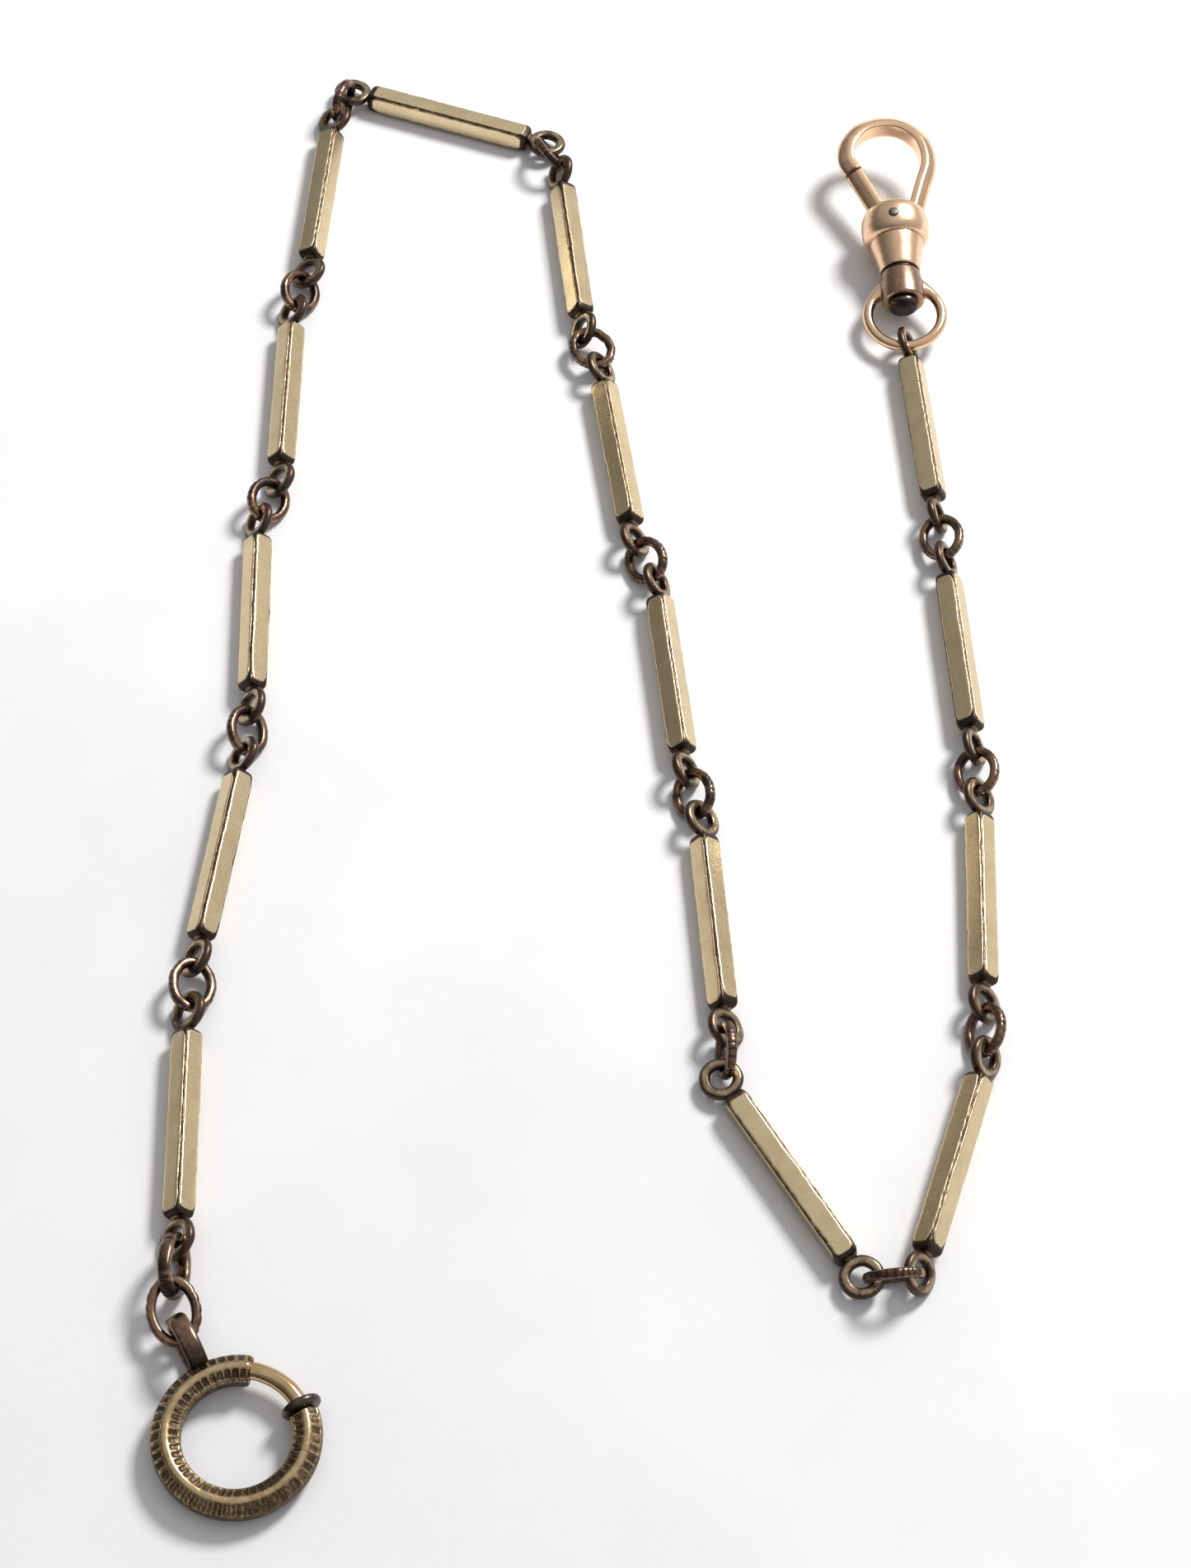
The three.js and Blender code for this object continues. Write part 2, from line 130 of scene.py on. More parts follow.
def add_key_light():
    data = bpy.data.lights.new("key", "AREA")
    data.shape = "DISK"
    data.size = KEY_SIZE
    data.energy = KEY_POWER
    data.color = KEY_COLOR
    light = bpy.data.objects.new("key", data)
    light.location = KEY_PLACE
    light.rotation_euler = (-Vector(KEY_PLACE)).to_track_quat("-Z", "Y").to_euler()
    bpy.context.scene.collection.objects.link(light)


def add_world():
    """Studio surround for the metal to reflect: bright overhead, behind and on the right."""
    world = bpy.data.worlds.new("studio")
    world.use_nodes = True
    tree = world.node_tree
    coordinates = tree.nodes.new("ShaderNodeTexCoord")
    facing = tree.nodes.new("ShaderNodeVectorMath")
    facing.operation = "DOT_PRODUCT"
    facing.inputs[1].default_value = SKY_BRIGHT_SIDE
    tree.links.new(coordinates.outputs["Generated"], facing.inputs[0])
    noise = tree.nodes.new("ShaderNodeTexNoise")
    noise.inputs["Scale"].default_value = SKY_CLOUDS
    noise.inputs["Detail"].default_value = 1.0
    tree.links.new(coordinates.outputs["Generated"], noise.inputs["Vector"])
    uneven = tree.nodes.new("ShaderNodeMath")
    uneven.operation = "MULTIPLY_ADD"
    uneven.inputs[1].default_value = SKY_CLOUD_SHARE
    tree.links.new(noise.outputs["Fac"], uneven.inputs[0])
    tree.links.new(facing.outputs["Value"], uneven.inputs[2])
    ramp = tree.nodes.new("ShaderNodeValToRGB")
    tree.links.new(uneven.outputs[0], ramp.inputs["Fac"])
    stops = ramp.color_ramp.elements
    stops.new(SKY_TONES[1][0])
    for stop, (position, color) in zip(stops, SKY_TONES):
        stop.position, stop.color = position, color
    background = tree.nodes["Background"]
    background.inputs["Strength"].default_value = SKY_STRENGTH
    tree.links.new(ramp.outputs["Color"], background.inputs["Color"])
    bpy.context.scene.world = world
    bpy.context.scene.view_settings.view_transform = "Standard"


def add_floor():
    mesh = bpy.data.meshes.new("floor")
    corners = [(x * FLOOR_HALF, y * FLOOR_HALF, 0) for x, y in ((-1, -1), (1, -1), (1, 1), (-1, 1))]
    mesh.from_pydata(corners, [], [(0, 1, 2, 3)])
    floor = bpy.data.objects.new("floor", mesh)
    material = bpy.data.materials.new("paper")
    paper = Nodes(material)
    where = paper.coordinates((1, 1, 1))
    clouds = paper.noise(where, 0.04, 3.0)
    grain = paper.noise(where, 4.0, 4.0, 0.7)
    tone = paper.mix(paper.remap(clouds, 0.3, 0.7), PAPER_SHADE, PAPER_LIGHT)
    paper.feed(paper.shader.inputs["Base Color"], tone)
    paper.feed(paper.shader.inputs["Normal"], paper.bump(grain, 0.35, 0.03))
    paper.shader.inputs["Roughness"].default_value = 0.85
    mesh.materials.append(material)
    bpy.context.scene.collection.objects.link(floor)


# ---------------------------------------------------------------- materials


class Nodes:
    """Short names for the few shader nodes that the metals need."""

    def __init__(self, material):
        material.use_nodes = True
        self.tree = material.node_tree
        self.shader = self.tree.nodes["Principled BSDF"]

    def feed(self, socket, value):
        if isinstance(value, bpy.types.NodeSocket):
            self.tree.links.new(value, socket)
        else:
            socket.default_value = value

    def coordinates(self, scale):
        """The piece's own coordinates, in millimetres times scale."""
        source = self.tree.nodes.new("ShaderNodeTexCoord")
        mapping = self.tree.nodes.new("ShaderNodeMapping")
        mapping.inputs["Scale"].default_value = [part / MM for part in scale]
        self.feed(mapping.inputs["Vector"], source.outputs["Object"])
        return mapping.outputs["Vector"]

    def noise(self, where, scale, detail=3.0, roughness=0.6, distortion=0.0):
        node = self.tree.nodes.new("ShaderNodeTexNoise")
        self.feed(node.inputs["Vector"], where)
        for name, value in (("Scale", scale), ("Detail", detail), ("Roughness", roughness),
                            ("Distortion", distortion)):
            self.feed(node.inputs[name], value)
        return node.outputs["Fac"]

    def attribute(self, name):
        node = self.tree.nodes.new("ShaderNodeAttribute")
        node.attribute_name = name
        return node.outputs["Fac"]

    def math(self, operation, first, second):
        node = self.tree.nodes.new("ShaderNodeMath")
        node.operation = operation
        self.feed(node.inputs[0], first)
        self.feed(node.inputs[1], second)
        return node.outputs[0]

    def remap(self, value, low, high, to_low=0.0, to_high=1.0, smooth=False):
        node = self.tree.nodes.new("ShaderNodeMapRange")
        node.interpolation_type = "SMOOTHSTEP" if smooth else "LINEAR"
        for name, part in (("Value", value), ("From Min", low), ("From Max", high),
                           ("To Min", to_low), ("To Max", to_high)):
            self.feed(node.inputs[name], part)
        return node.outputs["Result"]

    def mix(self, share, first, second):
        node = self.tree.nodes.new("ShaderNodeMix")
        node.data_type = "RGBA"
        self.feed(node.inputs["Factor"], share)
        self.feed(node.inputs[6], first)
        self.feed(node.inputs[7], second)
        return node.outputs[2]

    def bump(self, height, strength, distance, below=None):
        node = self.tree.nodes.new("ShaderNodeBump")
        node.inputs["Strength"].default_value = strength
        node.inputs["Distance"].default_value = distance * MM
        self.feed(node.inputs["Height"], height)
        if below is not None:
            self.feed(node.inputs["Normal"], below)
        return node.outputs["Normal"]


def metal(name, clean, warm, dark, smooth, rough, patch=1.2, stretch=(1, 1, 1), scratch=0.3):
    """Worn metal. clean and warm share the surface in patches, and dark fills what is tarnished and what is
    painted as shade.

    smooth and rough are the roughness of bare metal and of metal darkened by tarnish and by painted shade,
    patch is the number of patches in a millimetre, stretch draws the scratches out, and scratch is their
    strength."""
    material = bpy.data.materials.new(name)
    nodes = Nodes(material)
    plain = nodes.coordinates((1, 1, 1))
    drawn = nodes.coordinates(stretch)
    offset = nodes.tree.nodes.new("ShaderNodeVectorMath")
    offset.operation = "ADD"
    nodes.feed(offset.inputs[0], plain)
    nodes.feed(offset.inputs[1], nodes.attribute("seed"))
    where = offset.outputs["Vector"]
    clouds = nodes.noise(where, patch, 4.0, 0.62, 0.6)
    grime = nodes.noise(where, 5.0, 5.0, 0.7, 0.3)
    scratches = nodes.noise(drawn, 9.0, 4.0, 0.75)
    pits = nodes.noise(where, 22.0, 2.0, 0.5)
    # The vertex attribute read here holds tarnish. On some pieces it also holds painted shade (higher values)
    # and painted highlight (lower values).
    tarnish = nodes.attribute("tarnish")
    darkening = nodes.math("ADD", tarnish, nodes.remap(grime, 0.3, 0.75, -0.28, 0.28))
    darkening = nodes.remap(darkening, 0.18, 0.85, smooth=True)
    color = nodes.mix(nodes.remap(clouds, 0.38, 0.64, smooth=True), (*clean, 1), (*warm, 1))
    color = nodes.mix(darkening, color, (*dark, 1))
    gloss = nodes.remap(scratches, 0.3, 0.7, smooth * 0.8, smooth * 1.25)
    gloss = nodes.math("ADD", gloss, nodes.math("MULTIPLY", darkening, rough - smooth))
    nodes.feed(nodes.shader.inputs["Base Color"], color)
    nodes.feed(nodes.shader.inputs["Roughness"], gloss)
    nodes.shader.inputs["Metallic"].default_value = 1.0
    fine = nodes.bump(scratches, scratch, 0.02)
    nodes.feed(nodes.shader.inputs["Normal"], nodes.bump(pits, 0.10, 0.01, fine))
    return material


PLATE_GOLD = metal("plate_gold", (0.73, 0.595, 0.375), (0.67, 0.53, 0.32), (0.16, 0.10, 0.06),
                   0.27, 0.42, 0.5, (0.5, 3, 3), 0.12)
BODY_BROWN = metal("body_brown", (0.30, 0.205, 0.12), (0.19, 0.13, 0.08), (0.05, 0.036, 0.028),
                   0.26, 0.40)
EYE_BROWN = metal("eye_brown", (0.46, 0.36, 0.235), (0.34, 0.25, 0.16), (0.085, 0.057, 0.042),
                  0.22, 0.34, 1.5)
RING_BROWN = metal("ring_brown", (0.30, 0.19, 0.125), (0.21, 0.13, 0.09), (0.062, 0.043, 0.036),
                   0.20, 0.34, 1.6)
ROSE_GOLD = metal("rose_gold", (0.85, 0.58, 0.37), (0.78, 0.51, 0.32), (0.26, 0.165, 0.12),
                  0.16, 0.34, 0.5, (0.6, 2, 2), 0.14)
SATIN_ROSE = metal("satin_rose", (0.86, 0.60, 0.41), (0.79, 0.53, 0.35), (0.26, 0.165, 0.12),
                   0.27, 0.40, 0.6, (0.5, 3, 3), 0.2)
OLD_GOLD = metal("old_gold", (0.63, 0.475, 0.27), (0.47, 0.34, 0.19), (0.085, 0.057, 0.038),
                 0.22, 0.40, 1.2)
BOLT_GOLD = metal("bolt_gold", (0.66, 0.47, 0.26), (0.56, 0.385, 0.21), (0.16, 0.10, 0.06),
                  0.14, 0.34, 0.8, (1, 1, 1), 0.12)
DARK_BRONZE = metal("dark_bronze", (0.13, 0.10, 0.08), (0.095, 0.075, 0.06), (0.034, 0.029, 0.027),
                    0.24, 0.36, 1.4)
STEEL = metal("steel", (0.34, 0.31, 0.25), (0.27, 0.245, 0.20), (0.10, 0.09, 0.08), 0.28, 0.40, 1.4)

# ---------------------------------------------------------------- frames of the CAD links


def surface_moments(node):
    """Area-weighted middle of a CAD node's surface, and its principal directions, longest first."""
    mesh = nodes[node].data
    mesh.calc_loop_triangles()
    co = np.array([v.co for v in mesh.vertices], float)
    corners = co[np.array([t.vertices for t in mesh.loop_triangles])]
    area = np.linalg.norm(np.cross(corners[:, 1] - corners[:, 0], corners[:, 2] - corners[:, 0]), axis=1)
    middles = corners.mean(axis=1)
    centre = np.average(middles, axis=0, weights=area)
    offsets = np.concatenate([corners[:, k] - centre for k in range(3)] + [middles - centre])
    weights = np.concatenate([area, area, area, 9 * area])
    spread = (offsets * weights[:, None]).T @ offsets
    values, directions = np.linalg.eigh(spread)
    return Vector(centre), [Vector(directions[:, k]) for k in np.argsort(-values)]


def frame_at(origin, x, z):
    """Matrix of a frame at origin with its X near x and its Z along z."""
    z = Vector(z).normalized()
    y = z.cross(Vector(x)).normalized()
    rotation = Matrix((y.cross(z), y, z)).transposed().to_4x4()
    return Matrix.Translation(Vector(origin)) @ rotation


def link_frame(node):
    """Frame of a link: X along it, Z square to its flat faces and upwards."""
    centre, (longest, _, flattest) = surface_moments(node)
    if longest.y < 0:
        longest = -longest
    if flattest.z < 0:
        flattest = -flattest
    return frame_at(centre, longest, flattest)


# ---------------------------------------------------------------- mesh code


def wobble(rng, x, step, amount):
    """Smooth random waviness along x, with a knot in every step."""
    x = np.asarray(x, float)
    knots = rng.normal(0, amount, int((x.max() - x.min()) / step) + 4)
    place = (x - x.min()) / step
    index = place.astype(int)
    part = place - index
    part = part * part * (3 - 2 * part)
    return knots[index] * (1 - part) + knots[index + 1] * part


def looped_wobble(rng, angle, waves, amount):
    """Smooth random waviness round a closed ring."""
    total = np.zeros_like(angle)
    for wave in waves:
        total += rng.normal(0, amount) * np.sin(wave * angle + rng.uniform(0, 2 * math.pi))
    return total


def superellipse(a, b, power, count, start=0.0):
    """Closed section of count points, round for power 2 and squarer above it, from angle start."""
    angle = np.linspace(0, 2 * math.pi, count, endpoint=False) + start
    c, s = np.cos(angle), np.sin(angle)
    return np.stack([a * np.sign(c) * abs(c) ** (2 / power), b * np.sign(s) * abs(s) ** (2 / power)], 1)


def eased(outline, share, passes=2):
    """Cuts every corner of a closed outline by share of its sides, so that its edges are softly rounded."""
    for _ in range(passes):
        after = np.roll(outline, -1, axis=0)
        cut = [outline * (1 - share) + after * share, outline * share + after * (1 - share)]
        outline = np.stack(cut, 1).reshape(-1, outline.shape[1])
        share *= 0.7
    return outline


class Build:
    """Closed shells that become one mesh. Each vertex has a value of tarnish and painted shade, each face a
    material.
    """

    def __init__(self):
        self.points, self.tarnish, self.faces, self.slots = [], [], [], []
        self.count = 0

    def shell(self, points, faces, tarnish, slot):
        points = np.asarray(points, float).reshape(-1, 3)
        volume = 0.0
        for face in faces:
            first = points[face[0]]
            for k in range(1, len(face) - 1):
                volume += np.dot(first, np.cross(points[face[k]], points[face[k + 1]]))
        if volume < 0:
            faces = [face[::-1] for face in faces]
        self.points.append(points)
        self.tarnish.append(np.broadcast_to(np.asarray(tarnish, float).reshape(-1), (len(points),)))
        self.faces += [[self.count + corner for corner in face] for face in faces]
        self.slots += [slot] * len(faces)
        self.count += len(points)

    def loft(self, rows, tarnish=0.0, slot=0, ring=False):
        """Skin over closed sections, rows of equal length. A ring joins its last row to its first."""
        rows = np.asarray(rows, float)
        count, width = rows.shape[:2]
        faces = []
        for i in range(count if ring else count - 1):
            after = (i + 1) % count
            for j in range(width):
                side = (j + 1) % width
                faces.append([i * width + j, after * width + j, after * width + side, i * width + side])
        if not ring:
            faces.append(list(range(width)))
            faces.append(list(range((count - 1) * width, count * width))[::-1])
        tarnish = np.asarray(tarnish, float)
        if tarnish.size > 1:
            tarnish = np.broadcast_to(tarnish, (count, width))
        self.shell(rows.reshape(-1, 3), faces, tarnish, slot)

    def pipe(self, outer, inner, tarnish=0.0, slot=0):
        """Hollow skin: outer and inner sections of equal length, joined at both ends."""
        outer, inner = np.asarray(outer, float), np.asarray(inner, float)
        count, width = outer.shape[:2]
        size = count * width
        faces = []
        for i in range(count - 1):
            for j in range(width):
                side = (j + 1) % width
                quad = [i * width + j, (i + 1) * width + j, (i + 1) * width + side, i * width + side]
                faces.append(quad)
                faces.append([size + corner for corner in quad[::-1]])
        for row, turned in ((0, False), (count - 1, True)):
            for j in range(width):
                side = (j + 1) % width
                a, b = row * width + j, row * width + side
                quad = [a, b, size + b, size + a]
                faces.append(quad[::-1] if turned else quad)
        tarnish = np.broadcast_to(np.asarray(tarnish, float), (count, width))
        dark = np.full((count, width), 0.9)
        points = np.concatenate([outer.reshape(-1, 3), inner.reshape(-1, 3)])
        self.shell(points, faces, np.concatenate([tarnish.ravel(), dark.ravel()]), slot)

    def turned(self, profile, segments=72, tarnish=0.0, slot=0):
        """Solid of revolution about X from [radius, x] points that start and end on the axis."""
        profile = np.asarray(profile, float)
        angle = np.linspace(0, 2 * math.pi, segments, endpoint=False)
        ends = profile[0][0] < 1e-6 and profile[-1][0] < 1e-6
        body = profile[1:-1] if ends else profile
        rows = [[(x, r * math.cos(a), r * math.sin(a)) for a in angle] for r, x in body]
        rows = np.asarray(rows)
        if not ends:
            self.loft(rows, tarnish, slot, ring=True)
            return
        count = len(rows)
        faces = []
        for i in range(count - 1):
            for j in range(segments):
                side = (j + 1) % segments
                faces.append([i * segments + j, (i + 1) * segments + j,
                              (i + 1) * segments + side, i * segments + side])
        tips = [count * segments, count * segments + 1]
        for j in range(segments):
            side = (j + 1) % segments
            faces.append([tips[0], j, side])
            last = (count - 1) * segments
            faces.append([tips[1], last + side, last + j])
        points = np.concatenate([rows.reshape(-1, 3), [(profile[0][1], 0, 0), (profile[-1][1], 0, 0)]])
        self.shell(points, faces, tarnish, slot)

    def mesh(self, name, seed=0.0):
        points = np.concatenate(self.points) * MM
        mesh = bpy.data.meshes.new(name)
        mesh.from_pydata(points.tolist(), [], self.faces)
        mesh.attributes.new("tarnish", "FLOAT", "POINT").data.foreach_set(
            "value", np.concatenate(self.tarnish).astype(np.float32))
        mesh.attributes.new("seed", "FLOAT", "POINT").data.foreach_set(
            "value", np.full(len(points), seed, np.float32))
        mesh.polygons.foreach_set("material_index", self.slots)
        mesh.polygons.foreach_set("use_smooth", [True] * len(mesh.polygons))
        mesh.update()
        return mesh


def place_piece(name, mesh, place, materials, node, body, sharp=38):
    """Puts a mesh in place of a CAD node, on its body."""
    for material in materials:
        mesh.materials.append(material)
    mesh.set_sharp_from_angle(angle=radians(sharp))
    piece = bpy.data.objects.new(name, mesh)
    bpy.context.scene.collection.objects.link(piece)
    piece.matrix_world = place
    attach(piece, body)
    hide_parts(node)


def applied(piece):
    """The piece's mesh after its modifiers, which are then gone."""
    bpy.context.view_layer.update()
    graph = bpy.context.evaluated_depsgraph_get()
    mesh = bpy.data.meshes.new_from_object(piece.evaluated_get(graph))
    piece.modifiers.clear()
    return mesh


def curved(points, count):
    """count points on a centripetal Catmull-Rom curve through points."""
    points = np.asarray(points, float)
    points = np.concatenate([[2 * points[0] - points[1]], points, [2 * points[-1] - points[-2]]])
    samples = []
    for k in range(1, len(points) - 2):
        p = points[k - 1:k + 3]
        knot = np.concatenate([[0], np.cumsum(np.linalg.norm(np.diff(p, axis=0), axis=1) ** 0.5)])
        for t in np.linspace(knot[1], knot[2], 24, endpoint=k == len(points) - 3):
            a = [p[i] + (p[i + 1] - p[i]) * (t - knot[i]) / (knot[i + 1] - knot[i]) for i in range(3)]
            b = [a[i] + (a[i + 1] - a[i]) * (t - knot[i]) / (knot[i + 2] - knot[i]) for i in range(2)]
            samples.append(b[0] + (b[1] - b[0]) * (t - knot[1]) / (knot[2] - knot[1]))
    samples = np.asarray(samples)
    length = np.concatenate([[0], np.cumsum(np.linalg.norm(np.diff(samples, axis=0), axis=1))])
    even = np.linspace(0, length[-1], count)
    return np.stack([np.interp(even, length, samples[:, k]) for k in range(samples.shape[1])], 1)


def swept_flat(path, sections):
    """Rows of sections along a path in the XY plane. A section point is (left of the path, up)."""
    ahead = np.gradient(path, axis=0)
    ahead /= np.linalg.norm(ahead, axis=1)[:, None]
    left = np.stack([-ahead[:, 1], ahead[:, 0]], 1)
    sections = np.broadcast_to(sections, (len(path),) + np.shape(sections)[-2:])
    flat = path[:, None, :] + left[:, None, :] * sections[:, :, :1]
    return np.concatenate([flat, sections[:, :, 1:]], 2)


# ---------------------------------------------------------------- bar links


def plate(build, rng, turn, ridge):
    """One gold plate on a face of the bar: a thin bevelled strip with worn, uneven tongue ends.

    turn is the face's angle round the bar, and ridge is how bright its edges are, from 0 to 1."""
    ends = BAR_HALF_LENGTH - rng.uniform(*PLATE_SHORT, 2)
    clips = rng.uniform(CLIP_LEAST, CLIP_MOST, (4, 2))
    inner = np.linspace(-ends[0] + 1.0, ends[1] - 1.0, 84)
    tip = 1.0 - np.cos(np.linspace(0, math.pi / 2, 16)[:-1])
    x = np.concatenate([-ends[0] + tip, inner, (ends[1] - tip)[::-1]])
    low = -PLATE_HALF_WIDTH + wobble(rng, x, 0.35, 0.016) + wobble(rng, x, 2.2, 0.014)
    high = PLATE_HALF_WIDTH + wobble(rng, x, 0.35, 0.016) + wobble(rng, x, 2.2, 0.014)
    # Each corner is worn off along a quarter of an ellipse.
    for corner, (length, width) in enumerate(clips):
        end = -1 if corner < 2 else 1
        reach = x * end - (ends[0 if corner < 2 else 1] - length)
        u = np.clip(reach / length, 0, 1)
        inset = width * (1 - np.sqrt(1 - u * u))
        if corner % 2:
            low = low + inset
        else:
            high = high - inset
    to_end = np.minimum(x + ends[0], ends[1] - x)
    rise = PLATE_RISE * np.clip(0.25 + to_end / 0.07, 0, 1)
    # The bevelled edge: distance in from the side, height as a share of the rise, and tarnish.
    across = np.array([0, 0.0, 0.025, 0.065, 0.12, 0.22])
    height = np.array([-0.6, 0.0, 0.55, 0.88, 0.98, 1.0])
    grime = np.array([1.0, 0.9, 0.45, 0.12, 0.03, 0.0])
    left = low[:, None] + across
    right = high[:, None] - across[::-1]
    middle = low[:, None] + (high - low)[:, None] * np.array([0.36, 0.5, 0.64])
    lateral = np.concatenate([left, middle, right], 1)
    up = np.concatenate([height, [1.0, 1.0, 1.0], height[::-1]])
    darkening = np.concatenate([grime, [0, 0, 0], grime[::-1]])
    base = BAR_HALF_SIDE - PLATE_RISE
    lift = base + rise[:, None] * up
    lift = lift + (wobble(rng, x, 1.7, 0.004))[:, None] * (up > 0.9)
    tarnish = darkening * (1.25 - ridge) + np.clip(0.5 - to_end / 0.25, 0, 1)[:, None] * 0.9
    tarnish = tarnish + np.clip(wobble(rng, x, 0.4, 0.3), 0, 1)[:, None] * darkening
    c, s = math.cos(turn), math.sin(turn)
    wide = np.broadcast_to(x[:, None], lateral.shape)
    rows = np.stack([wide, lateral * c - lift * s, lateral * s + lift * c], 2)
    build.loft(rows, np.clip(tarnish, 0, 1), slot=0)


def bar_body(build, rng, ridge):
    """Brown square rod under the plates, with rounded-off ends."""
    # The rounded end: distance from the end, and what is taken off each side there.
    tip = np.array([0, 0.02, 0.06, 0.13, 0.23, 0.37, 0.56])
    shrink = np.array([0.40, 0.29, 0.20, 0.125, 0.065, 0.022, 0])
    inner = np.linspace(-BAR_HALF_LENGTH + 0.8, BAR_HALF_LENGTH - 0.8, 60)
    x = np.concatenate([tip - BAR_HALF_LENGTH, inner, (BAR_HALF_LENGTH - tip)[::-1]])
    inset = np.concatenate([shrink, np.zeros(60), shrink[::-1]])
    half = CORE_HALF_SIDE - inset + wobble(rng, x, 0.5, 0.006)
    section = superellipse(1, 1, 6, 40, math.pi / 40)
    section *= 1 / np.abs(section).max()
    rows = np.stack([np.concatenate([np.full((40, 1), place), section * size], 1)
                     for place, size in zip(x, half)])
    near_end = np.clip(1 - (BAR_HALF_LENGTH - abs(x)) / 0.7, 0, 1)
    worn = np.clip(0.92 - 0.45 * ridge + wobble(rng, x, 0.5, 0.12), 0, 1)
    build.loft(rows, np.clip(worn + 0.4 * near_end, 0, 1)[:, None], slot=1)


def make_bar(number):
    """Sleeve of one bar: the brown rod and its four gold plates."""
    rng = np.random.default_rng(BAR_SEED + number)
    ridge = 0.15 if number in DARK_RIDGED else 0.5
    build = Build()
    bar_body(build, rng, ridge)
    for quarter in range(4):
        plate(build, rng, quarter * math.pi / 2, ridge)
    body = f"bar_{number:02d}"
    mesh = build.mesh(f"{body}_plated", number * 7.3)
    place_piece(f"{body}_plated", mesh, link_frame(f"{body}_core"), [PLATE_GOLD, BODY_BROWN],
                f"{body}_sleeve", body, 42)


def eye(build, rng, side):
    """Washer-like eye with rounded rims, and the solder that holds it to the bar's end."""
    middle = (EYE_OUTER + EYE_INNER) / 2
    angle = np.linspace(0, 2 * math.pi, 96, endpoint=False)
    turn = np.linspace(0, 2 * math.pi, 28, endpoint=False)
    c, s = np.cos(turn), np.sin(turn)
    power = np.where(c > 0, 2.3, 3.4)
    radial = ((EYE_OUTER - EYE_INNER) / 2 + EYE_SWELL) * np.sign(c) * abs(c) ** (2 / power)
    up = (EYE_THICKNESS / 2 + EYE_SWELL * 0.7) * np.sign(s) * abs(s) ** (2 / power)
    uneven = looped_wobble(rng, angle, (2, 3, 5, 7), 0.006)
    r = middle - EYE_INSET + radial[None, :] + uneven[:, None]
    z = up[None, :] * (1 + looped_wobble(rng, angle, (2, 3, 4), 0.02)[:, None])
    x = side * EYE_CENTRE + r * np.cos(angle)[:, None]
    rows = np.stack([x, r * np.sin(angle)[:, None], np.broadcast_to(z, r.shape)], 2)
    face = np.clip((abs(up) / (EYE_THICKNESS / 2) - 0.8) / 0.2, 0, 1) * np.exp(-((radial + 0.02) / 0.2) ** 2)
    worn = 0.75 + looped_wobble(rng, angle, (1, 2, 3, 6), 0.12)
    build.loft(rows, np.clip(0.95 - face[None, :] * worn[:, None], 0, 1), ring=True)
    # Solder between bar and eye: distance past the bar's end, half width and half height.
    stations = [(-0.08, 0.50, 0.50), (0.02, 0.56, 0.46), (0.06, 0.50, 0.36), (0.14, 0.40, 0.29),
                (0.28, 0.30, 0.25), (0.40, 0.22, 0.20)]
    section = superellipse(1, 1, 2.8, 32)
    rows = [[(side * (BAR_HALF_LENGTH + x), a * wide, b * tall) for a, b in section]
            for x, wide, tall in stations]
    build.loft(np.asarray(rows), 0.7)


def make_eyes(number):
    rng = np.random.default_rng(EYE_SEED + number)
    build = Build()
    for side in (-1, 1):
        eye(build, rng, side)
    turn = np.linspace(0, 2 * math.pi, 16, endpoint=False)
    wire = [[(x, THROUGH_WIRE * math.cos(a), THROUGH_WIRE * math.sin(a)) for a in turn]
            for x in (-BAR_HALF_LENGTH, BAR_HALF_LENGTH)]
    build.loft(np.asarray(wire), 0.8)
    body = f"bar_{number:02d}"
    mesh = build.mesh(f"{body}_eyes", number * 3.1)
    place_piece(f"{body}_eyes", mesh, link_frame(f"{body}_core"), [EYE_BROWN], f"{body}_core", body)


# ---------------------------------------------------------------- rings


def oval_ring(name, node, seed, size, beads, depth, clean_face=0.0):
    """Oval ring of rounded wire. Its outer side is worn into beads, as deep as depth.

    size is half length, half width, wire and thickness, and clean_face takes tarnish off its faces."""
    half_length, half_width, wire, thickness = size
    rng = np.random.default_rng(seed)
    angle = np.linspace(0, 2 * math.pi, 220, endpoint=False)
    turn = np.linspace(0, 2 * math.pi, 24, endpoint=False)
    c, s = np.cos(turn), np.sin(turn)
    radial = RING_SWELL * 0.3 + (wire / 2 + RING_SWELL) * np.sign(c) * abs(c) ** (2 / 2.5)
    up = (thickness / 2 + RING_SWELL * 0.8) * np.sign(s) * abs(s) ** (2 / 2.5)
    normal = np.stack([half_width * np.cos(angle), half_length * np.sin(angle)], 1)
    normal /= np.linalg.norm(normal, axis=1)[:, None]
    centre = np.stack([half_length * np.cos(angle), half_width * np.sin(angle)], 1)
    phase = beads * angle + looped_wobble(rng, angle, (3, 5, 8), 0.7)
    groove = (0.5 - 0.5 * np.cos(phase)) ** 3 * (0.65 + looped_wobble(rng, angle, (2, 5), 0.25))
    outward = np.clip(c, 0, 1) ** 1.5
    cut = depth * np.clip(groove, 0, 1)[:, None] * outward[None, :]
    r = radial[None, :] + looped_wobble(rng, angle, (2, 3, 7, 11), 0.006)[:, None] - cut
    z = up[None, :] * (1 + looped_wobble(rng, angle, (3, 4, 9), 0.012)[:, None])
    flat = centre[:, None, :] + normal[:, None, :] * r[:, :, None]
    rows = np.concatenate([flat, z[:, :, None]], 2)
    inside = np.clip(-c, 0, 1)
    patches = looped_wobble(rng, angle, (1, 2, 4, 7), 0.13)
    tarnish = 0.48 + 0.25 * inside[None, :] + patches[:, None] + 0.6 * cut / depth
    tarnish = tarnish - clean_face * (abs(s) ** 3)[None, :]
    build = Build()
    build.loft(rows, np.clip(tarnish, 0, 1), ring=True)
    mesh = build.mesh(name, seed * 1.7)
    place_piece(name, mesh, link_frame(node), [RING_BROWN], node, node, 60)


